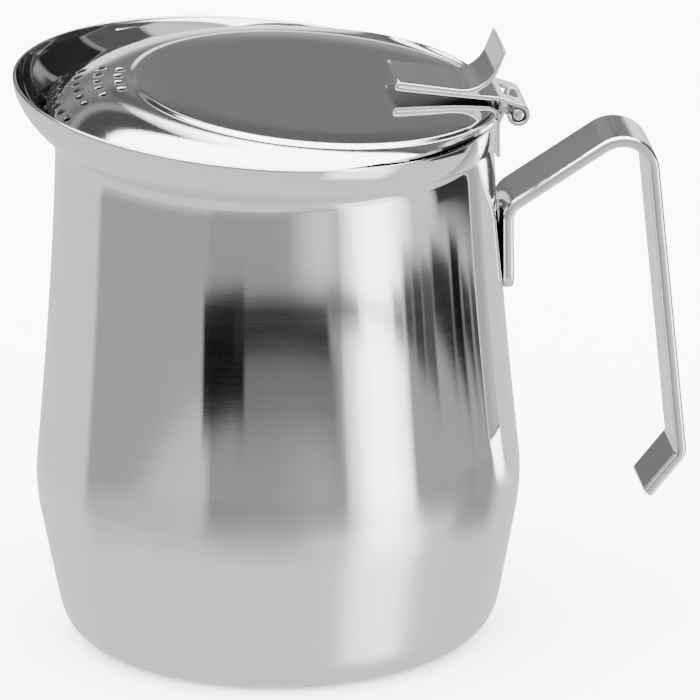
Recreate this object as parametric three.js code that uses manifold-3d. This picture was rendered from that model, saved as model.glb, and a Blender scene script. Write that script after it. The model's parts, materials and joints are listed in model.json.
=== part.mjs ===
// A melting pot for candle wax: a stainless steel jug with a wide pouring lip, a hinged
// lid with strainer holes, and a handle bent from flat bar.
//
// Millimetres, +Z up. The origin is the centre of the base, on the surface that the pot
// stands on. +X runs from the axis towards the handle, and -X towards the pouring lip.

import * as THREE from "three";
import Module from "manifold-3d";
import { mergeVertices } from "three/addons/utils/BufferGeometryUtils.js";

const wasm = await Module();
wasm.setup();

// ---------------------------------------------------------------- driving dimensions

const SIDES = 64;                 // facets round the jug and the lid
const GAP = 0.3;                  // left between pieces that touch

// jug body: one deep-drawn shell
const WALL = 0.8;
const BASE_R = 37.2;              // flat part of the base
const HEEL = { r: 45.7, z: 8 };   // where the rounded heel runs into the lower side
const BELLY_R = 50;
const BELLY_Z = 33;
const BELLY_BLEND = 6.3;          // height of the rounding above and below the belly
const NECK = { r: 45.2, z: 104 };
const RIM = { r: 50, z: 115.9 };
const FLARE_START = 0.24;         // share of the way from neck to rim where the flare starts
const FLARE_POWER = 1.8;          // it opens out at once there and rises to the rim
const RIM_SHIFT = 4;              // the rim's centre lies this far towards the lip
const LEAN = Math.tan(THREE.MathUtils.degToRad(5.2));   // the rim falls towards the handle

// lid: one pressing, a flat plateau with an apron that drops inside the rim
const LID_SHEET = 0.6;
const LID_R = 46.8;
const LID_EDGE_Z = 114.6;         // top of the apron's edge
const LID_HINGE_DIP = 1.8;        // the edge dips this much at the hinge
const DIP_POWER = 6;              // and only close to it
const APRON_POWER = 2.2;          // the apron steepens towards its edge
const PLATEAU_R = 36.5;
const SHOULDER_R = 38.2;
const SHOULDER_DROP = 0.8;
const PLATEAU_SHIFT = 8.2;        // the plateau's centre lies this far towards the hinge
const PLATEAU_Z = 117.75;         // height of the plateau's plane over the origin

// strainer holes in the apron, in arcs round the jug's axis
const HOLE_R = 0.9;
const HOLE_TURN = 5.5;            // degrees that the punched field sits off the centre line
const HOLE_ROWS = [
  { r: 44.8, count: 7, step: 5.7 },
  { r: 40.5, count: 6, step: 5.9 },
  { r: 36.2, count: 5, step: 6.8 },
  { r: 32.0, count: 4, step: 7.6 },
];

// hinge: a loose pin through a curl of the lid's strap and a curl of the jug's bracket
const HINGE = { x: 49.8, z: 110.55 };
const PIN_R = 1.2;
const PIN_LENGTH = 14.6;
const STRIP = 0.85;               // sheet that the strap and the bracket are bent from
const CURL_R = PIN_R + 0.35 + STRIP / 2;
const STRAP_WIDTH = 14.8;
const SLOT_WIDTH = 6.6;
const SLOT_X = 47.1;              // the slot for the bracket starts here
const THUMB_TIP = { x: 47.0, z: 124.7 };
const THUMB_CORNER = { x: 43.1, z: 115.35, bend: 7.2 };
const FOLD = { x: 25.1, z: 117.75 };                // where the lower leaf leaves the fold
const LEAF_END = { x: 45.6, z: 114.35 };            // where the lower leaf turns down to the curl
const STRAP_CURL_END = -190;
const BRACKET_WIDTH = 6;
const LEG = { x: 46.15, foot: 100.1, top: 107.5, bend: 2 };
const BRACKET_CURL_END = -150;

// handle: one length of flat bar
const BAR = 2.4;
const BAR_WIDTH = 15.4;
const BAR_ROUNDING = 0.8;
const LUG = { x: 47.45, foot: 72.5, top: 90.1, bend: 4.5, corner: 3 };
const APEX = { x: 77.0, z: 108.2, bend: 6.8 };
const HEEL_BEND = { x: 83.3, z: 34.6, bend: 2.6 };
const HANDLE_END = { x: 76.0, z: 26.05 };

// ---------------------------------------------------------------- outlines

// A line of points moved sideways, to its left, by the same distance all along.
function besideLine(points, distance) {
  return points.map((point, i) => {
    const before = points[Math.max(i - 1, 0)];
    const after = points[Math.min(i + 1, points.length - 1)];
    const into = new THREE.Vector2().subVectors(i ? point : after, i ? before : point).normalize();
    const outOf = new THREE.Vector2().subVectors(after, i < points.length - 1 ? point : before).normalize();
    const along = into.clone().add(outOf).normalize();
    const mitre = distance / along.dot(into);
    return new THREE.Vector2(point.x - along.y * mitre, point.y + along.x * mitre);
  });
}

// Corners joined by straight stretches, with each inner corner rounded to a bend radius.
function bentLine(corners, bends, steps = 8) {
  const points = [corners[0]];
  bends.forEach((radius, i) => {
    const [before, corner, after] = corners.slice(i, i + 3);
    const back = new THREE.Vector2().subVectors(before, corner).normalize();
    const on = new THREE.Vector2().subVectors(after, corner).normalize();
    const half = Math.acos(back.dot(on)) / 2;
    const centre = back.clone().add(on).normalize().multiplyScalar(radius / Math.sin(half)).add(corner);
    const start = back.clone().multiplyScalar(radius / Math.tan(half)).add(corner);
    const turn = Math.sign(back.cross(on)) * (half * 2 - Math.PI);
    for (let step = 0; step <= steps; step += 1) {
      points.push(start.clone().rotateAround(centre, (turn * step) / steps));
    }
  });
  points.push(corners.at(-1));
  return points;
}

// Points on an arc, angles in degrees.
function arc(centre, radius, from, to, steps) {
  return Array.from({ length: steps + 1 }, (_, i) => {
    const angle = THREE.MathUtils.degToRad(from + ((to - from) * i) / steps);
    return new THREE.Vector2(centre.x + radius * Math.cos(angle), centre.y + radius * Math.sin(angle));
  });
}

// The tangent from a point to a circle that keeps the circle on its right: the angle, in
// degrees, at which it meets the circle.
function tangentAngle(point, centre, radius) {
  const toCentre = new THREE.Vector2().subVectors(centre, point);
  const angle = toCentre.angle() + Math.asin(radius / toCentre.length()) + Math.PI / 2;
  return THREE.MathUtils.radToDeg(angle) % 360;
}

const at = (x, y) => new THREE.Vector2(x, y);

// ---------------------------------------------------------------- solids

// Leaves only positions, with shared vertices merged and collapsed triangles dropped.
function closed(geometry) {
  geometry.deleteAttribute("normal");
  geometry.deleteAttribute("uv");
  const merged = mergeVertices(geometry, 1e-4);
  const index = merged.index.array;
  const kept = [];
  for (let i = 0; i < index.length; i += 3) {
    const [a, b, c] = index.slice(i, i + 3);
    if (a !== b && b !== c && c !== a) kept.push(a, b, c);
  }
  merged.setIndex(kept);
  return merged;
}

function solid(geometry) {
  const { position } = geometry.attributes;
  const vertProperties = new Float32Array(position.array);
  const triVerts = new Uint32Array(geometry.index.array);
  return new wasm.Manifold(new wasm.Mesh({ numProp: 3, vertProperties, triVerts }));
}

function geometryOf(body) {
  const { vertProperties, triVerts } = body.getMesh();
  const geometry = new THREE.BufferGeometry();
  geometry.setAttribute("position", new THREE.BufferAttribute(vertProperties, 3));
  geometry.setIndex(new THREE.BufferAttribute(triVerts, 1));
  return geometry;
}

// A profile (radius, height) turned round the Z axis.
function turned(profile) {
  return closed(new THREE.LatheGeometry(profile, SIDES).rotateX(Math.PI / 2));
}

// An outline (x, z) as a solid of one width, centred on the XZ plane.
function bar(outline, width, rounding = 0) {
  const geometry = new THREE.ExtrudeGeometry(new THREE.Shape(outline), {
    depth: width - 2 * rounding,
    bevelEnabled: rounding > 0,
    bevelThickness: rounding,
    bevelSize: rounding,
    bevelOffset: -rounding,
    bevelSegments: 3,
  });
  geometry.rotateX(Math.PI / 2).translate(0, width / 2 - rounding, 0);
  return closed(geometry);
}

// A strip of sheet or bar bent along its centre line.
function bentStrip(centreLine, thickness, width, rounding) {
  const left = besideLine(centreLine, thickness / 2);
  const right = besideLine(centreLine, -thickness / 2);
  return bar([...left, ...right.reverse()], width, rounding);
}

function upright(radius, x, y, low, high, sides) {
  const cylinder = new THREE.CylinderGeometry(radius, radius, high - low, sides);
  return solid(closed(cylinder.rotateX(Math.PI / 2).translate(x, y, (low + high) / 2)));
}

// ---------------------------------------------------------------- jug body

// How far the flare has opened, from 0 at the neck to 1 at the rim, a share of the way up.
function opened(t) {
  const share = THREE.MathUtils.clamp((t - FLARE_START) / (1 - FLARE_START), 0, 1);
  return 1 - (1 - share) ** FLARE_POWER;
}

// The outer side from the centre of the base to the rim, as radius and height.
function sideLine() {
  const side = new THREE.Path();
  const lowSlope = (BELLY_R - HEEL.r) / (BELLY_Z - HEEL.z);
  const low = at(BELLY_R - 0.7, BELLY_Z - BELLY_BLEND);
  const high = at(BELLY_R - 0.3, BELLY_Z + BELLY_BLEND);
  side.moveTo(0, 0);
  side.lineTo(BASE_R, 0);
  side.quadraticCurveTo(HEEL.r - HEEL.z * lowSlope, 0, HEEL.r, HEEL.z);
  side.lineTo(low.x, low.y);
  side.quadraticCurveTo(BELLY_R + 0.5, BELLY_Z, high.x, high.y);
  side.quadraticCurveTo(NECK.r + 0.8, NECK.z - 26, NECK.r, NECK.z);
  const points = side.getPoints(5);
  const flareSteps = 6;
  for (let step = 0; step <= flareSteps; step += 1) {
    const t = THREE.MathUtils.lerp(FLARE_START, 1, step / flareSteps);
    points.push(at(
      THREE.MathUtils.lerp(NECK.r, RIM.r, opened(t)),
      THREE.MathUtils.lerp(NECK.z, RIM.z, t),
    ));
  }
  return points;
}

// Above the neck the rings move towards the pouring lip, and lean down at the handle.
function leanFlare(geometry) {
  const { position } = geometry.attributes;
  for (let i = 0; i < position.count; i += 1) {
    const t = Math.max((position.getZ(i) - NECK.z) / (RIM.z - NECK.z), 0);
    const x = position.getX(i) - RIM_SHIFT * opened(t);
    position.setX(i, x);
    position.setZ(i, position.getZ(i) - x * LEAN * t);
  }
  return geometry;
}

function potBody() {
  const outside = sideLine();
  const inside = besideLine(outside, WALL);
  return leanFlare(turned([...outside, ...inside.reverse()]));
}

// ---------------------------------------------------------------- lid

// Height of the lid's upper face over a point of its flat blank, and the point's shift.
function pressed(x, y) {
  const r = Math.hypot(x, y);
  const apron = THREE.MathUtils.clamp((LID_R - r) / (LID_R - SHOULDER_R), 0, 1);
  const rounding = THREE.MathUtils.clamp((r - PLATEAU_R) / (SHOULDER_R - PLATEAU_R), 0, 1);
  const shiftedX = x + PLATEAU_SHIFT * apron;
  const shoulder = PLATEAU_Z - shiftedX * LEAN - SHOULDER_DROP * rounding ** 2;
  const edge = LID_EDGE_Z - LID_HINGE_DIP * Math.max(x / LID_R, 0) ** DIP_POWER;
  const rise = 1 - (1 - apron) ** APRON_POWER;
  return { x: shiftedX, z: THREE.MathUtils.lerp(edge, shoulder, rise) };
}

function lidBlank() {
  const shoulderRings = [PLATEAU_R, PLATEAU_R + 0.6, PLATEAU_R + 1.2, SHOULDER_R];
  const apronRings = [39.6, 41.4, 43.2, 44.9, 46.1, LID_R];
  const rings = [0, ...shoulderRings, ...apronRings];
  const under = rings.map((r) => at(r, 0));
  const over = rings.map((r) => at(r, LID_SHEET));
  const geometry = turned([...under, ...over.reverse()]);
  const { position } = geometry.attributes;
  for (let i = 0; i < position.count; i += 1) {
    const { x, z } = pressed(position.getX(i), position.getY(i));
    position.setX(i, x);
    position.setZ(i, z + position.getZ(i) - LID_SHEET);
  }
  return solid(geometry);
}

function strainerHoles() {
  const low = LID_EDGE_Z - 5;
  const high = PLATEAU_Z + 10;
  return HOLE_ROWS.flatMap(({ r, count, step }) => Array.from({ length: count }, (_, i) => {
    const angle = THREE.MathUtils.degToRad(HOLE_TURN + (i - (count - 1) / 2) * step);
    return upright(HOLE_R, -r * Math.cos(angle), r * Math.sin(angle), low, high, 10);
  }));
}

function lid() {
  return geometryOf(strainerHoles().reduce((sheet, hole) => sheet.subtract(hole), lidBlank()));
}

// ---------------------------------------------------------------- hinge

const pinCentre = at(HINGE.x, HINGE.z);

// One folded strip: thumb piece, flattened fold, a leaf down to the lid, and the curl.
function lidStrap() {
  const leafEnd = at(LEAF_END.x, LEAF_END.z);
  const leaves = STRIP + GAP;                       // centre to centre of the folded leaves
  const thumb = bentLine(
    [at(THUMB_TIP.x, THUMB_TIP.z), at(THUMB_CORNER.x, THUMB_CORNER.z), at(FOLD.x, FOLD.z + leaves)],
    [THUMB_CORNER.bend],
    10,
  );
  const foldTurn = arc(at(FOLD.x, FOLD.z + leaves / 2), leaves / 2, 90, 270, 6).slice(1);
  const curlStart = tangentAngle(leafEnd, pinCentre, CURL_R);
  const curl = arc(pinCentre, CURL_R, curlStart, STRAP_CURL_END, 20);
  const strip = solid(bentStrip([...thumb, ...foldTurn, leafEnd, ...curl], STRIP, STRAP_WIDTH));
  const slotLength = 10;
  const slot = new THREE.BoxGeometry(slotLength, SLOT_WIDTH, slotLength);
  slot.translate(SLOT_X + slotLength / 2, 0, HINGE.z);
  return geometryOf(strip.subtract(solid(closed(slot))));
}

// One strip: a leg outside the neck, and a tongue that wraps the pin between the knuckles.
function hingeBracket() {
  const legTop = at(LEG.x, LEG.top);
  const wrapStart = tangentAngle(legTop, pinCentre, CURL_R);
  const wrap = arc(pinCentre, CURL_R, wrapStart, BRACKET_CURL_END, 18);
  const leg = bentLine([at(LEG.x, LEG.foot), legTop, wrap[0]], [LEG.bend]);
  return bentStrip([...leg, ...wrap.slice(1)], STRIP, BRACKET_WIDTH);
}

function hingePin() {
  const pin = new THREE.CylinderGeometry(PIN_R, PIN_R, PIN_LENGTH, 24);
  return closed(pin.translate(HINGE.x, 0, HINGE.z));
}

// ---------------------------------------------------------------- handle

// Cuts the two corners off the lower end of the lug, each to a quarter round.
function lugCorners() {
  return [-1, 1].map((side) => {
    const corner = new THREE.Shape();
    const edge = BAR_WIDTH / 2;
    const round = arc(at(edge - LUG.corner, LUG.corner), LUG.corner, 0, -90, 8);
    [...round, at(edge - LUG.corner, -1), at(edge + 1, -1), at(edge + 1, LUG.corner)].forEach((point, i) => {
      const y = point.x * side;
      const z = point.y + LUG.foot;
      if (i === 0) corner.moveTo(y, z);
      else corner.lineTo(y, z);
    });
    const depth = 8;
    const geometry = new THREE.ExtrudeGeometry(corner, { depth, bevelEnabled: false });
    geometry.rotateX(Math.PI / 2).rotateZ(Math.PI / 2).translate(LUG.x - depth / 2, 0, 0);
    return solid(closed(geometry));
  });
}

function handle() {
  const corners = [
    at(LUG.x, LUG.foot),
    at(LUG.x, LUG.top),
    at(APEX.x, APEX.z),
    at(HEEL_BEND.x, HEEL_BEND.z),
    at(HANDLE_END.x, HANDLE_END.z),
  ];
  const bends = [LUG.bend, APEX.bend, HEEL_BEND.bend];
  const strip = solid(bentStrip(bentLine(corners, bends), BAR, BAR_WIDTH, BAR_ROUNDING));
  const seat = solid(turned([...besideLine(sideLine(), -GAP), at(0, RIM.z)]));
  return geometryOf(lugCorners().reduce((body, cut) => body.subtract(cut), strip.subtract(seat)));
}

// ---------------------------------------------------------------- assembly

const brushedSteel = () => new THREE.MeshStandardMaterial({ color: 0xb9bbbd, roughness: 0.34, metalness: 1 });
const polishedSteel = () => new THREE.MeshStandardMaterial({ color: 0xd2d3d4, roughness: 0.12, metalness: 1 });

const pieces = [
  ["pot_body", potBody(), brushedSteel()],
  ["handle", handle(), polishedSteel()],
  ["hinge_bracket", hingeBracket(), polishedSteel()],
  ["hinge_pin", hingePin(), polishedSteel()],
  ["lid", lid(), polishedSteel()],
  ["lid_strap", lidStrap(), polishedSteel()],
];

const pot = new THREE.Group();
for (const [name, geometry, material] of pieces) {
  const mesh = new THREE.Mesh(geometry, material);
  mesh.name = name;
  pot.add(mesh);
}

export default pot;
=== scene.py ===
import json
import math

import bmesh
import bpy
from mathutils import Matrix, Vector


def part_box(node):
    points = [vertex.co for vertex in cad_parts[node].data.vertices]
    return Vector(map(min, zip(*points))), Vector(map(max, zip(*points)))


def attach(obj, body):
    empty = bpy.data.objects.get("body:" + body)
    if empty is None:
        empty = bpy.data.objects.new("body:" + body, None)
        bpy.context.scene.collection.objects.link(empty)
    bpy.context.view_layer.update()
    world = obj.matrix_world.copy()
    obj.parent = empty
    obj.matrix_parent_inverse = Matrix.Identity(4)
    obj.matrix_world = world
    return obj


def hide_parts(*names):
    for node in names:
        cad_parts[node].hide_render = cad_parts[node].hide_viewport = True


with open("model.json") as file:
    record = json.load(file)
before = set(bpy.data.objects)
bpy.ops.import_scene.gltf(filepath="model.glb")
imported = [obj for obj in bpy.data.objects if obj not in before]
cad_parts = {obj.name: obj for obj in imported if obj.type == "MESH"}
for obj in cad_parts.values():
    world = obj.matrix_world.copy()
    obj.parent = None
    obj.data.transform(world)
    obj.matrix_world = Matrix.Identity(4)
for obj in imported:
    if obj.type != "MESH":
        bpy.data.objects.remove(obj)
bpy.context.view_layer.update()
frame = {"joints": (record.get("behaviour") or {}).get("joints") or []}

# ------------------------------------------------------------------ camera
# A long lens looks at the jug's side from a little towards its lip and from above the lid, so
# that the lip points left and the handle right. It stands far off, which keeps upright lines upright.

AZIMUTH = math.radians(-8)
ELEVATION = math.radians(19.57)
ROLL = math.radians(-0.59)
STAND_OFF = 4.13
LENS_MM = 1028.6
AIM_HEIGHT = 0.060                # the height on the jug's axis that is level with the aim
AIM_BESIDE = 0.0151               # the aim lies this far to the right of that point
AIM_BELOW = 0.0002

camera = bpy.data.objects.new("camera", bpy.data.cameras.new("camera"))
bpy.context.scene.collection.objects.link(camera)
bpy.context.scene.camera = camera
camera.data.lens = LENS_MM
camera.data.clip_end = 50
back = Vector((
    math.sin(AZIMUTH) * math.cos(ELEVATION),
    -math.cos(AZIMUTH) * math.cos(ELEVATION),
    math.sin(ELEVATION),
))
level = Vector((math.cos(AZIMUTH), math.sin(AZIMUTH), 0))
upright = back.cross(level)
right = level * math.cos(ROLL) + upright * math.sin(ROLL)
up = upright * math.cos(ROLL) - level * math.sin(ROLL)
aim = Vector((0, 0, AIM_HEIGHT)) + right * AIM_BESIDE - up * AIM_BELOW
turn = Matrix((right, up, back)).transposed().to_4x4()
camera.matrix_world = Matrix.Translation(aim + back * STAND_OFF) @ turn

# ------------------------------------------------------------------ jug
# One seamless jug, spun from a disc of stainless sheet: a flat base, a full belly, a slim neck
# and a flared rim that is drawn out to a pouring lip. It is brushed round outside, bright inside.

jug_low, jug_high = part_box("pot_body")
SHEET = 0.0008
BELLY_RADIUS = (jug_high.y - jug_low.y) / 2
RIM_RADIUS = BELLY_RADIUS
BASE_RADIUS = 0.0372
HEEL = Vector((0.0457, 0.008))    # radius and height where the rounded heel meets the lower side
HEEL_PULL = Vector((0.0443, 0))
BELLY_HEIGHT = 0.033
BELLY_BLEND = 0.0063              # height of the belly's rounding above and below its middle
BELLY_LOW_END = Vector((BELLY_RADIUS - 0.0007, BELLY_HEIGHT - BELLY_BLEND))
BELLY_PULL = Vector((BELLY_RADIUS + 0.0005, BELLY_HEIGHT))
BELLY_TOP_END = Vector((BELLY_RADIUS - 0.0003, BELLY_HEIGHT + BELLY_BLEND))
NECK = Vector((0.0452, 0.104))
NECK_PULL = Vector((0.0460, 0.078))
RIM_HEIGHT = 0.1159
FLARE_START = 0.24                # share of the way from neck to rim where the flare starts
FLARE_POWER = 1.8                 # it opens out at once there and rises to the rim
FLARE_RINGS = 12
RIM_SHIFT = 0.004                 # the rim's centre lies this far towards the lip
LEAN = math.radians(5.2)          # the rim falls towards the handle
RIM_ROUNDING = 0.00022
ROUND = 128                       # facets round the jug before smoothing


def curve(start, pull, end, steps):
    """Points after start, on a curve that leaves start towards pull and comes to end from it."""
    shares = [step / steps for step in range(1, steps + 1)]
    return [start.lerp(pull, share).lerp(pull.lerp(end, share), share) for share in shares]


def open_piece(name):
    """Names the primitive just added, settles its place in its mesh and opens it for editing."""
    piece = bpy.context.object
    piece.name = name
    piece.data.name = name
    bpy.ops.object.transform_apply(location=True, rotation=True, scale=True)
    bpy.ops.object.mode_set(mode="EDIT")
    return piece


def select(piece, kind, wanted):
    """Selects just the piece's verts, edges or faces (kind) that pass the test wanted."""
    bpy.ops.mesh.select_mode(type={"verts": "VERT", "edges": "EDGE", "faces": "FACE"}[kind])
    bpy.ops.mesh.select_all(action="DESELECT")
    mesh = bmesh.from_edit_mesh(piece.data)
    for part in getattr(mesh, kind):
        if wanted(part):
            part.select_set(True)
    mesh.select_flush_mode()
    bmesh.update_edit_mesh(piece.data)


def draw_ring(last, now):
    """Draws the open edge out from one ring (radius, height, shift, tilt) to the next."""
    centre = (now[2], 0, now[1])
    grow = now[0] / last[0]
    step = (now[2] - last[2], 0, now[1] - last[1])
    bpy.ops.mesh.extrude_region_move(TRANSFORM_OT_translate={"value": step})
    bpy.ops.transform.resize(value=(grow, grow, grow), center_override=centre)
    if now[3] != last[3]:
        bpy.ops.transform.rotate(value=last[3] - now[3], orient_axis="Y", center_override=centre)


def modify(piece, kind, **settings):
    """Adds a modifier to the piece and applies it."""
    modifier = piece.modifiers.new(kind.lower(), kind)
    for key, value in settings.items():
        setattr(modifier, key, value)
    bpy.ops.object.modifier_apply(modifier=modifier.name)


outline = curve(Vector((BASE_RADIUS, 0)), HEEL_PULL, HEEL, 7)
outline += [HEEL.lerp(BELLY_LOW_END, share) for share in (0.33, 0.67, 1)]
outline += curve(BELLY_LOW_END, BELLY_PULL, BELLY_TOP_END, 6)
outline += curve(BELLY_TOP_END, NECK_PULL, NECK, 12)
rings = [(BASE_RADIUS, 0, 0, 0)] + [(point.x, point.y, 0, 0) for point in outline]
for ring in range(FLARE_RINGS + 1):
    share = FLARE_START + (1 - FLARE_START) * ring / FLARE_RINGS
    flare = 1 - (1 - ring / FLARE_RINGS) ** FLARE_POWER
    shift = -RIM_SHIFT * flare
    height = NECK.y + (RIM_HEIGHT - NECK.y) * share - shift * math.tan(LEAN) * share
    rings.append((NECK.x + (RIM_RADIUS - NECK.x) * flare, height, shift, LEAN * share))

bpy.ops.object.select_all(action="DESELECT")
bpy.ops.mesh.primitive_circle_add(vertices=ROUND, radius=BASE_RADIUS, fill_type="TRIFAN")
jug = open_piece("jug_shell")
select(jug, "edges", lambda edge: edge.is_boundary)
for last, now in zip(rings, rings[1:]):
    draw_ring(last, now)
bpy.ops.mesh.select_all(action="SELECT")
bpy.ops.mesh.normals_make_consistent(inside=False)
bpy.ops.object.mode_set(mode="OBJECT")
modify(jug, "SOLIDIFY", thickness=SHEET, offset=-1, use_even_offset=True,
       material_offset=1, material_offset_rim=1)
modify(jug, "BEVEL", width=RIM_ROUNDING, segments=3, limit_method="ANGLE",
       angle_limit=math.radians(60))
modify(jug, "SUBSURF", levels=1, render_levels=1)
bpy.ops.object.shade_smooth()


class Wire:
    """An output of a material's node, or just its node tree. Arithmetic on it adds Math nodes."""

    def __init__(self, tree, socket=None):
        self.tree = tree
        self.socket = socket

    def node(self, kind, settings=None, inputs=None, output=0):
        """Adds a node with its settings, then its sockets' values or links, and gives an output."""
        made = self.tree.nodes.new(kind)
        for key, value in (settings or {}).items():
            setattr(made, key, value)
        for key, value in (inputs or {}).items():
            if isinstance(value, Wire):
                self.tree.links.new(value.socket, made.inputs[key])
            else:
                made.inputs[key].default_value = value
        return Wire(self.tree, made.outputs[output] if made.outputs else None)

    def maths(self, operation, first, second):
        return self.node("ShaderNodeMath", {"operation": operation}, {0: first, 1: second})

    def __add__(self, other):
        return self.maths("ADD", self, other)

    def __sub__(self, other):
        return self.maths("SUBTRACT", self, other)

    def __rsub__(self, other):
        return self.maths("SUBTRACT", other, self)

    def __mul__(self, other):
        return self.maths("MULTIPLY", self, other)

    def __pow__(self, other):
        return self.maths("POWER", self, other)

    __radd__ = __add__
    __rmul__ = __mul__


def new_material(name):
    """A material with an empty node tree, and that tree as a Wire."""
    material = bpy.data.materials.new(name)
    material.use_nodes = True
    material.node_tree.nodes.clear()
    return material, Wire(material.node_tree)


def finish_material(tree, **sockets):
    """Puts a Principled surface with these sockets on the material."""
    inputs = {key.replace("_", " "): value for key, value in sockets.items()}
    inputs["Metallic"] = 1
    surface = tree.node("ShaderNodeBsdfPrincipled", None, inputs)
    tree.node("ShaderNodeOutputMaterial", None, {"Surface": surface})


def noise(tree, x, y, z, detail, output=0):
    """Fractal noise read at (x, y, z)."""
    place = tree.node("ShaderNodeCombineXYZ", None, {0: x, 1: y, 2: z})
    return tree.node("ShaderNodeTexNoise", None, {"Vector": place, "Scale": 1, "Detail": detail}, output)


def tinted(tree, mask, low, high):
    """A colour between two greys, each given as (red, green, blue), by a mask from 0 to 1."""
    return tree.node(
        "ShaderNodeMix",
        {"data_type": "RGBA"},
        {"Factor": mask, 6: (*low, 1), 7: (*high, 1)},
        output=2,
    )


FINE_LINES = 5200                 # brush lines to the metre
BROAD_LINES = 420
WORN_BELOW = 0.045                # the steel has dulled below this height, over the fade
WORN_FADE = 0.010
WORN_ROUGHNESS = 0.2


def brushed_steel():
    """Steel with fine brush lines that run round the jug's axis, duller from the belly down."""
    material, tree = new_material("brushed_jug_steel")
    place = tree.node("ShaderNodeTexCoord", output="Object")
    x, y, z = [tree.node("ShaderNodeSeparateXYZ", None, {0: place}, axis) for axis in range(3)]
    reach = (x * x + y * y) ** 0.5
    down = z + reach
    fine = noise(tree, x * 45, y * 45, down * FINE_LINES, 2)
    broad = noise(tree, x * 14, y * 14, down * BROAD_LINES, 3)
    cloud = noise(tree, x * 28, y * 28, z * 22, 2)
    lines = fine * 0.65 + broad * 0.35
    worn = tree.node("ShaderNodeClamp", None, {"Value": (WORN_BELOW - z) * (1 / WORN_FADE)})
    bump = tree.node(
        "ShaderNodeBump", None, {"Strength": 0.025, "Distance": 0.00002, "Height": lines}
    )
    finish_material(
        tree,
        Base_Color=tinted(tree, lines * 0.6 + cloud * 0.4, (0.66, 0.66, 0.655), (0.80, 0.80, 0.795)),
        Roughness=0.015 + lines * 0.04 + cloud * 0.015 + worn * WORN_ROUGHNESS,
        Anisotropic=0.6,
        Anisotropic_Rotation=0.25,
        Normal=bump,
    )
    return material


def polished_steel(name, tint, roughness, grain):
    """Bright steel with a faint polishing grain; grain is the lines' pitch per metre along x, y, z."""
    material, tree = new_material(name)
    place = tree.node("ShaderNodeTexCoord", output="Object")
    x, y, z = [tree.node("ShaderNodeSeparateXYZ", None, {0: place}, axis) for axis in range(3)]
    lines = noise(tree, x * grain[0], y * grain[1], z * grain[2], 3)
    cloud = noise(tree, x * 90, y * 90, z * 90, 3)
    bump = tree.node(
        "ShaderNodeBump", None, {"Strength": 0.12, "Distance": 0.00004, "Height": lines}
    )
    dark = tuple(0.92 * part for part in tint)
    finish_material(
        tree,
        Base_Color=tinted(tree, lines * 0.75 + cloud * 0.25, dark, tint),
        Roughness=roughness * 0.7 + lines * (roughness * 0.45) + cloud * (roughness * 0.1),
        Normal=bump,
    )
    return material


jug.data.materials.clear()
jug.data.materials.append(brushed_steel())
inside_steel = polished_steel("bright_inside_steel", (0.78, 0.78, 0.775), 0.08, (60, 60, 2400))
jug.data.materials.append(inside_steel)
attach(jug, "jug")
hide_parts("pot_body")

# ------------------------------------------------------------------ handle
# A length of flat steel bar with rounded edges, bent three times. Its upper end is a lug that is
# spot welded to the neck, and its lower end stops free of the belly after a short inward kick.

BAR_WIDTH = 0.0154
BAR_THICKNESS = 0.0024
BAR_EDGE = 0.0008
LUG_FOOT = Vector((0.04745, 0.0725))
LUG_CORNER = 0.003
CREASE = math.radians(40)         # faces that meet at more than this keep a sharp edge
HANDLE_BENDS = [                  # the corners of the bar's middle line, with their bend radii
    (Vector((0.04745, 0.0901)), 0.0045),
    (Vector((0.0770, 0.1082)), 0.0068),
    (Vector((0.0833, 0.0346)), 0.0026),
    (Vector((0.0760, 0.02605)), 0),
]


class Strip:
    """A flat strip that is drawn out and bent in the XZ plane, with its free end's faces selected."""

    def __init__(self, name, width, thickness, start, heading):
        bpy.ops.object.select_all(action="DESELECT")
        bpy.ops.mesh.primitive_plane_add(
            size=1, location=(start.x, 0, start.y), rotation=(0, math.pi / 2 - heading, 0)
        )
        bpy.context.object.scale = (thickness, width, 1)
        self.piece = open_piece(name)
        self.place = start.copy()
        self.heading = heading
        bpy.ops.mesh.select_mode(type="FACE")
        bpy.ops.mesh.select_all(action="SELECT")

    def straight(self, length):
        """Draws the end straight out."""
        step = Vector((math.cos(self.heading), math.sin(self.heading))) * length
        bpy.ops.mesh.extrude_region_move(TRANSFORM_OT_translate={"value": (step.x, 0, step.y)})
        self.place += step

    def bend(self, radius, angle):
        """Bends the end on through an angle, to its left if the angle is positive."""
        side = math.copysign(radius, angle)
        left = Vector((-math.sin(self.heading), math.cos(self.heading)))
        centre = self.place + left * side
        steps = max(3, round(abs(angle) / math.radians(7)))
        bpy.ops.mesh.spin(steps=steps, angle=angle, center=(centre.x, 0, centre.y), axis=(0, 1, 0))
        self.heading += angle
        self.place = centre + Vector((math.sin(self.heading), -math.cos(self.heading))) * side

    def follow(self, corners):
        """Runs through corners, each a place and a bend radius, and stops at the last."""
        for (corner, radius), (after, _) in zip(corners, corners[1:]):
            on = after - corner
            angle = math.remainder(math.atan2(on.y, on.x) - self.heading, 2 * math.pi)
            self.straight((corner - self.place).length - radius * math.tan(abs(angle) / 2))
            self.bend(radius, angle)
        self.straight((corners[-1][0] - self.place).length)


def finish_edges(piece, width, segments=3):
    """Rounds a strip's edges and smooths its bends."""
    bpy.ops.mesh.select_all(action="SELECT")
    bpy.ops.mesh.remove_doubles(threshold=1e-6)
    bpy.ops.mesh.normals_make_consistent(inside=False)
    bpy.ops.object.mode_set(mode="OBJECT")
    modify(piece, "BEVEL", width=width, segments=segments, limit_method="ANGLE",
           angle_limit=math.radians(50))
    bpy.ops.object.shade_smooth_by_angle(angle=CREASE)
    modify(piece, "WEIGHTED_NORMAL", keep_sharp=True)


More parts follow.
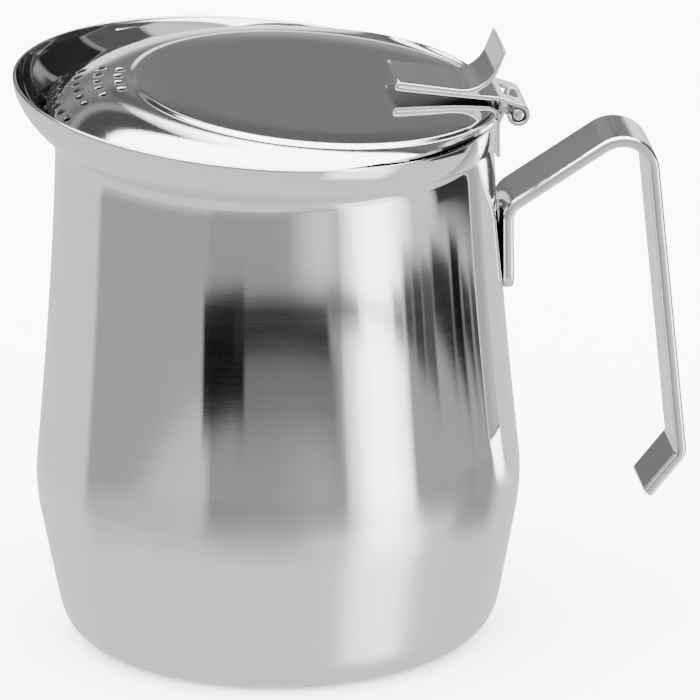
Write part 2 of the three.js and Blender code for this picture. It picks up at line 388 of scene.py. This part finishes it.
bar = Strip("handle_bar", BAR_WIDTH, BAR_THICKNESS, LUG_FOOT, math.pi / 2)
bar.follow(HANDLE_BENDS)
select(bar.piece, "edges", lambda edge: all(abs(v.co.z - LUG_FOOT.y) < 1e-6 for v in edge.verts)
       and abs(edge.verts[0].co.y - edge.verts[1].co.y) < 1e-6)
bpy.ops.mesh.bevel(offset=LUG_CORNER, segments=8, affect="EDGES")
finish_edges(bar.piece, BAR_EDGE, 4)
handle_steel = polished_steel("handle_steel", (0.74, 0.74, 0.735), 0.09, (60, 2600, 60))
bar.piece.data.materials.append(handle_steel)
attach(bar.piece, "jug")
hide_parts("handle")

# ------------------------------------------------------------------ hinge bracket
# A narrow strip of sheet, spot welded up the back of the neck, whose top is curled round the
# pin between the two curls of the lid's strap.

hinge = next(joint for joint in frame["joints"] if joint["name"] == "lid_hinge")
PIN = Vector((hinge["pos_m"][0], hinge["pos_m"][2]))
PIN_RADIUS = 0.0012
STRIP = 0.00085
CURL_RADIUS = PIN_RADIUS + 0.00035 + STRIP / 2
STRIP_EDGE = 0.00016
BRACKET_WIDTH = 0.006
LEG_FOOT = Vector((0.04615, 0.1001))
LEG_TOP = Vector((0.04615, 0.1075))
LEG_BEND = 0.002
BRACKET_CURL_END = math.radians(-150)


def curl_start(place):
    """The angle round the pin at which a strip that comes straight from place meets its curl."""
    away = place - PIN
    return math.atan2(away.y, away.x) - math.acos(CURL_RADIUS / away.length)


def on_curl(angle):
    """The curl's middle line at an angle round the pin."""
    return PIN + Vector((math.cos(angle), math.sin(angle))) * CURL_RADIUS


start = curl_start(LEG_TOP) % (2 * math.pi)
leg = Strip("bracket_leg", BRACKET_WIDTH, STRIP, LEG_FOOT, math.pi / 2)
leg.follow([(LEG_TOP, LEG_BEND), (on_curl(start), 0)])
leg.bend(CURL_RADIUS, BRACKET_CURL_END - start)
finish_edges(leg.piece, STRIP_EDGE)
bracket_steel = polished_steel("bracket_steel", (0.70, 0.70, 0.695), 0.13, (500, 500, 2600))
leg.piece.data.materials.append(bracket_steel)
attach(leg.piece, "jug")
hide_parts("hinge_bracket")

# ------------------------------------------------------------------ hinge pin
# A cut length of steel wire, loose in all three curls, with slightly domed ends.

pin_low, pin_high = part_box("hinge_pin")
PIN_LENGTH = pin_high.y - pin_low.y
PIN_DOME = 0.0002
DOME_STEPS = (0.7, 0.3)           # shares of the dome's height that its two rings rise by
DOME_INSET = PIN_RADIUS * 0.3

bpy.ops.object.select_all(action="DESELECT")
bpy.ops.mesh.primitive_cylinder_add(
    vertices=40,
    radius=PIN_RADIUS,
    depth=PIN_LENGTH - 2 * PIN_DOME,
    location=(PIN.x, 0, PIN.y),
    rotation=(math.pi / 2, 0, 0),
)
pin = open_piece("pin_wire")
for side in (1, -1):
    select(pin, "faces", lambda face: face.normal.y * side > 0.9)
    for step in DOME_STEPS:
        bpy.ops.mesh.inset(thickness=DOME_INSET)
        bpy.ops.transform.translate(value=(0, side * PIN_DOME * step, 0))
finish_edges(pin, 0.0001, 2)
pin_steel = polished_steel("pin_steel", (0.52, 0.52, 0.52), 0.26, (300, 300, 300))
pin.data.materials.append(pin_steel)
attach(pin, "jug")
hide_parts("hinge_pin")

# ------------------------------------------------------------------ lid
# One pressing in thin sheet: a flat plateau set towards the hinge, a small shoulder, and an apron
# that drops inside the rim. Four short arcs of punched holes in the apron strain what is poured.

LID_SHEET = 0.0006
LID_RADIUS = 0.0468
LID_EDGE_HEIGHT = 0.1146
HINGE_DIP = 0.0018
DIP_POWER = 6
APRON_POWER = 2.2
APRON_START = 0.2                 # slope at the shoulder, as a share of the apron's mean slope
CROWN_RADIUS = 0.0280             # the plateau is flat inside this and falls gently outside it
CROWN_DROP = 0.0004
PLATEAU_RADIUS = 0.0365
SHOULDER_RADIUS = 0.0382
SHOULDER_DROP = 0.0004
SHOULDER_END = 0.2                # slope at the shoulder's foot, as a share of its mean slope
PLATEAU_SHIFT = 0.0082
PLATEAU_HEIGHT = 0.11775
APRON_RINGS = 11
HOLE_RADIUS = 0.0009
DIMPLE_RADIUS = 0.00108
DIMPLE_DEPTH = 0.00005
CLEARED = 0.00155                 # the sheet is opened this far round each hole before it is set in
OPENED = CLEARED + 0.0006         # and no further than this
AT_HOLE = HOLE_RADIUS + 0.0001    # what lies this near a hole's centre is on the hole's edge
EDGE_MARGIN = 0.0003              # the lid's outer edge is told from a hole's edge by this
LID_CENTRE_RADIUS = 0.006
HOLE_TURN = math.radians(5.5)     # the punched field sits this far off the centre line
HOLE_ROWS = [                     # radius from the jug's axis, holes, degrees between holes
    (0.0448, 7, 5.7),
    (0.0405, 6, 5.9),
    (0.0362, 5, 6.8),
    (0.0320, 4, 7.6),
]


def clamp(value):
    return min(max(value, 0), 1)


def apron_share(x, y):
    """How far up the apron a point of the pressed sheet lies: 0 at the edge, 1 on the shoulder."""
    width = LID_RADIUS - SHOULDER_RADIUS
    square = width ** 2 - PLATEAU_SHIFT ** 2
    half = LID_RADIUS * width - PLATEAU_SHIFT * x
    rest = LID_RADIUS ** 2 - x ** 2 - y ** 2
    return clamp((half - math.sqrt(max(half ** 2 - square * rest, 0))) / square)


def pressed_height(x, y):
    """Height of the sheet's upper face over (x, y)."""
    share = apron_share(x, y)
    from_middle = math.hypot(x - PLATEAU_SHIFT, y)
    crown = clamp((from_middle - CROWN_RADIUS) / (SHOULDER_RADIUS - CROWN_RADIUS))
    rounding = clamp((from_middle - PLATEAU_RADIUS) / (SHOULDER_RADIUS - PLATEAU_RADIUS))
    if share < 1:
        crown = 1
        rounding = 1
    fall = CROWN_DROP * crown ** 1.5
    fall += SHOULDER_DROP * rounding ** 2 * (3 - SHOULDER_END - (2 - SHOULDER_END) * rounding)
    shoulder = PLATEAU_HEIGHT - x * math.tan(LEAN) - fall
    out = clamp((x - PLATEAU_SHIFT * share) / LID_RADIUS)
    edge = LID_EDGE_HEIGHT - HINGE_DIP * out ** DIP_POWER
    rise = APRON_START * share + (1 - APRON_START) * (1 - (1 - share) ** APRON_POWER)
    return edge + (shoulder - edge) * rise


holes = []
for reach, count, step in HOLE_ROWS:
    for place in range(count):
        angle = HOLE_TURN + math.radians((place - (count - 1) / 2) * step)
        holes.append(Vector((-reach * math.cos(angle), reach * math.sin(angle), 0)))


def near_hole(place, reach):
    """True if a place on the flat blank is within reach of a hole's centre."""
    return any(math.hypot(place.x - hole.x, place.y - hole.y) < reach for hole in holes)


plateau_rings = [0.012, 0.020, CROWN_RADIUS, 0.0286, 0.0293, 0.0302, 0.0315, 0.033, 0.0345, 0.0357,
                 PLATEAU_RADIUS]
shoulder_rings = [PLATEAU_RADIUS + share * (SHOULDER_RADIUS - PLATEAU_RADIUS) for share in
                  (0.12, 0.25, 0.38, 0.5, 0.62, 0.75, 0.88, 1)]
apron_rings = [SHOULDER_RADIUS + (LID_RADIUS - SHOULDER_RADIUS) * ring / APRON_RINGS
               for ring in range(1, APRON_RINGS + 1)]
bpy.ops.object.select_all(action="DESELECT")
bpy.ops.mesh.primitive_circle_add(
    vertices=ROUND, radius=LID_CENTRE_RADIUS, fill_type="TRIFAN", location=(PLATEAU_SHIFT, 0, 0)
)
lid = open_piece("lid_pressing")
select(lid, "edges", lambda edge: edge.is_boundary)
last = (LID_CENTRE_RADIUS, 0, PLATEAU_SHIFT, 0)
for radius in plateau_rings + shoulder_rings + apron_rings:
    shift = PLATEAU_SHIFT * clamp((LID_RADIUS - radius) / (LID_RADIUS - SHOULDER_RADIUS))
    now = (radius, 0, shift, 0)
    draw_ring(last, now)
    last = now

# The apron is divided finely, opened round each hole, and each hole's ring is set in.
select(lid, "faces", lambda face: apron_share(*face.calc_center_median().xy) < 0.99)
bpy.ops.mesh.subdivide(number_cuts=3)
select(lid, "faces", lambda face: near_hole(face.calc_center_median(), CLEARED))
bpy.ops.mesh.delete(type="FACE")
for hole in holes:
    def around(edge):
        middle = (edge.verts[0].co + edge.verts[1].co) / 2
        inside = middle.length < LID_RADIUS - EDGE_MARGIN
        return edge.is_boundary and inside and (middle - hole).length < OPENED

    select(lid, "edges", around)
    bpy.ops.mesh.extrude_region_move()
    for vertex in bmesh.from_edit_mesh(lid.data).verts:
        if vertex.select:
            vertex.co = hole + (vertex.co - hole).normalized() * DIMPLE_RADIUS
    bpy.ops.mesh.extrude_region_move()
    shrink = HOLE_RADIUS / DIMPLE_RADIUS
    bpy.ops.transform.resize(value=(shrink, shrink, 1), center_override=hole)
bpy.ops.object.mode_set(mode="OBJECT")
for vertex in lid.data.vertices:
    x, y, _ = vertex.co
    vertex.co.z = pressed_height(x, y)
    if near_hole(vertex.co, AT_HOLE):
        vertex.co.z -= DIMPLE_DEPTH
bpy.ops.object.mode_set(mode="EDIT")
bpy.ops.mesh.select_all(action="SELECT")
bpy.ops.mesh.extrude_region_move(TRANSFORM_OT_translate={"value": (0, 0, -LID_SHEET)})
bpy.ops.mesh.select_all(action="SELECT")
bpy.ops.mesh.normals_make_consistent(inside=False)
bpy.ops.object.mode_set(mode="OBJECT")
bpy.ops.object.shade_smooth_by_angle(angle=CREASE)
lid.data.materials.append(polished_steel("lid_steel", (0.74, 0.74, 0.735), 0.07, (2400, 60, 60)))
# The second material is a near-black, rough steel for the holes' walls: painted shade inside the holes.
lid.data.materials.append(polished_steel("punched_steel", (0.07, 0.07, 0.07), 0.5, (900, 900, 60)))
for face in lid.data.polygons:
    if abs(face.normal.z) < 0.5 and near_hole(face.center, AT_HOLE):
        face.material_index = 1
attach(lid, "lid")
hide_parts("lid")

# ------------------------------------------------------------------ lid strap
# A strip of sheet that is spot welded to the plateau. Its upper leaf rises to a thumb lever, it
# folds back flat on itself over the lid, and its end is slotted and curled twice round the pin.

STRAP_WIDTH = 0.0148
SLOT_WIDTH = 0.0066
SLOT_START = 0.0471
THUMB_TIP = Vector((0.0470, 0.1247))
THUMB_CORNER = Vector((0.0431, 0.11535))
THUMB_BEND = 0.0072
FOLD_UNDER = Vector((0.0251, 0.11775))
LEAVES_APART = STRIP + 0.0001
LEAF_END = Vector((0.0456, 0.11435))
LEAF_BEND = 0.003
STRAP_CURL_END = math.radians(-190)

fold_over = FOLD_UNDER + Vector((0, LEAVES_APART))
down = THUMB_CORNER - THUMB_TIP
strap = Strip("strap_leaf", STRAP_WIDTH, STRIP, THUMB_TIP, math.atan2(down.y, down.x))
for edge in (SLOT_WIDTH / 2, -SLOT_WIDTH / 2):
    bpy.ops.mesh.select_all(action="SELECT")
    bpy.ops.mesh.bisect(plane_co=(0, edge, 0), plane_no=(0, 1, 0))
bpy.ops.mesh.select_all(action="SELECT")
strap.follow([(THUMB_CORNER, THUMB_BEND), (fold_over, 0)])
back_along = LEAF_END - FOLD_UNDER
fold_turn = math.atan2(back_along.y, back_along.x) - strap.heading
strap.bend(LEAVES_APART / 2, fold_turn % (2 * math.pi))
start = curl_start(LEAF_END)
into_curl = on_curl(start)
drop = into_curl - LEAF_END
slot_place = LEAF_END.lerp(into_curl, (SLOT_START - LEAF_END.x) / drop.x)
strap.follow([(LEAF_END, LEAF_BEND), (slot_place, 0)])
end_faces = [face.calc_center_median() for face in bmesh.from_edit_mesh(strap.piece.data).faces
             if face.select and abs(face.calc_center_median().y) > SLOT_WIDTH / 2]
select(strap.piece, "faces", lambda face: any(
    (face.calc_center_median() - centre).length < 1e-6 for centre in end_faces))
strap.follow([(into_curl, 0)])
strap.bend(CURL_RADIUS, STRAP_CURL_END - start)
finish_edges(strap.piece, STRIP_EDGE)
strap_steel = polished_steel("strap_steel", (0.74, 0.74, 0.735), 0.1, (60, 2600, 60))
strap.piece.data.materials.append(strap_steel)
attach(strap.piece, "lid")
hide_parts("lid_strap")

# ------------------------------------------------------------------ studio
# A plain pale floor under a bright, even sky. Polished steel shows little but what stands round
# it, so its reflections get a studio of their own: a light tent with cards and dark flags.

FLOOR_PAINT = 0.9
SKY_STRENGTH = 15
TENT = 1.5                        # brightness of the tent where no card stands
CARDS = [                         # bearings from, to; heights from, to; soft edges; brightness
    (-4, 20, -8, 6, 6, 4, 0.05),
    (-112, 24, -24, 2, 4, 12, 0.66),
    (-42, 24, -24, 2, 3, 12, 0.56),
    (0, 24, -24, 2, 20, 12, 0.72),
    (6, 26, -24, -13.5, 14, 0.8, 1.5),
    (-116, -42, -11.1, -3, 4, 0.6, 1.25),
    (29, 64, -46, -7, 9, 8, 4.5),
    (36, 54, -24, -7, 10, 6, 9),
    (-28, 22, -11.9, -10.3, 4, 0.8, 0.3),
    (-45, -24, -13.35, -10.6, 2, 0.4, 0.005),
    (-29, 19, -13.05, -11.65, 3, 0.3, 0.03),
    (18, 36, -13.4, -12.4, 5, 0.4, 0.28),
    (36, 47, -13.3, -12.9, 3, 0.4, 1.3),
    (47, 53, -13.4, -12.9, 3, 0.4, 0.8),
    (53, 60, -13.9, -12.7, 3, 0.4, 0.28),
    (60, 135, -15, -7, 4, 0.5, 0.7),
    (60, 66, -14.25, -12.9, 3, 0.4, 0.09),
    (66, 72, -14.6, -12.8, 2, 0.4, 0.07),
    (72, 79, -14.9, -12.9, 2, 0.4, 0.13),
    (79, 93, -15.5, -13.75, 3, 0.5, 0.04),
    (93, 101, -16, -14.05, 3, 0.4, 0.01),
    (101, 109, -15.7, -14.65, 3, 0.4, 0.03),
    (109, 125, -16, -14.95, 3, 0.4, 0.1),
    (84, 116, -25, -16.2, 6, 1.5, 0.07),
    (50, 84, -3, 41, 5, 3, 0.14),
    (84, 124, -3, 41, 6, 3, 0.02),
    (124, 156, -3, 41, 6, 3, 0.07),
    (122, 131, -3, 11, 5, 5, 0.5),
]
BACK_CARDS = [                    # the same, with bearings from straight behind
    (-70, 24, -6, 28, 6, 3, 0.27),
    (-40, 8, 16.5, 23, 4, 3, 0.38),
    (2, 24, -6, 12.6, 4, 2, 0.6),
    (-2, 24, -6, 10, 4, 3, 2.2),
    (2, 24, 20.5, 28, 4, 2, 0.15),
    (-70, 10, 28, 47, 4, 8, 0.09),
]
TOP_CARDS = [
    (-190, 190, 44, 100, 2, 3, 14),
    (6, 24, 27, 48, 9, 3, 14),
]

bpy.ops.object.select_all(action="DESELECT")
bpy.ops.mesh.primitive_plane_add(size=30)
floor = bpy.context.object
floor.name = "floor"
floor.visible_glossy = False
floor_paint, tree = new_material("floor_paint")
paint = (FLOOR_PAINT, FLOOR_PAINT, FLOOR_PAINT, 1)
surface = tree.node("ShaderNodeBsdfDiffuse", None, {"Color": paint})
tree.node("ShaderNodeOutputMaterial", None, {"Surface": surface})
floor.data.materials.append(floor_paint)

studio = bpy.data.worlds.new("studio")
bpy.context.scene.world = studio
studio.use_nodes = True
studio.node_tree.nodes.clear()
tree = Wire(studio.node_tree)
way = tree.node("ShaderNodeTexCoord", output="Generated")
x, y, z = [tree.node("ShaderNodeSeparateXYZ", None, {0: way}, axis) for axis in range(3)]
bearing = tree.maths("ARCTAN2", x, y * -1) * math.degrees(1)
behind = tree.maths("ARCTAN2", x, y) * math.degrees(1)
height = tree.maths("ARCSINE", z, 0) * math.degrees(1)


def within(value, low, high, soft):
    """1 between low and high and 0 outside, over soft edges."""
    rise = tree.node("ShaderNodeClamp", None, {"Value": (value - low) * (1 / soft) + 0.5})
    fall = tree.node("ShaderNodeClamp", None, {"Value": (high - value) * (1 / soft) + 0.5})
    return rise * fall


light = z * 0 + TENT              # the same in every direction until the cards are put in
for cards, side in ((CARDS, bearing), (BACK_CARDS, behind), (TOP_CARDS, behind)):
    for start, end, low, high, soft_side, soft_height, brightness in cards:
        mask = within(side, start, end, soft_side) * within(height, low, high, soft_height)
        light = light + (brightness - light) * mask
reflected = tree.node("ShaderNodeBackground", None, {"Strength": light})
sky = tree.node("ShaderNodeBackground", None, {"Strength": SKY_STRENGTH})
glossy = tree.node("ShaderNodeLightPath", output="Is Glossy Ray")
both = tree.node("ShaderNodeMixShader", None, {0: glossy, 1: sky, 2: reflected})
tree.node("ShaderNodeOutputWorld", None, {"Surface": both})
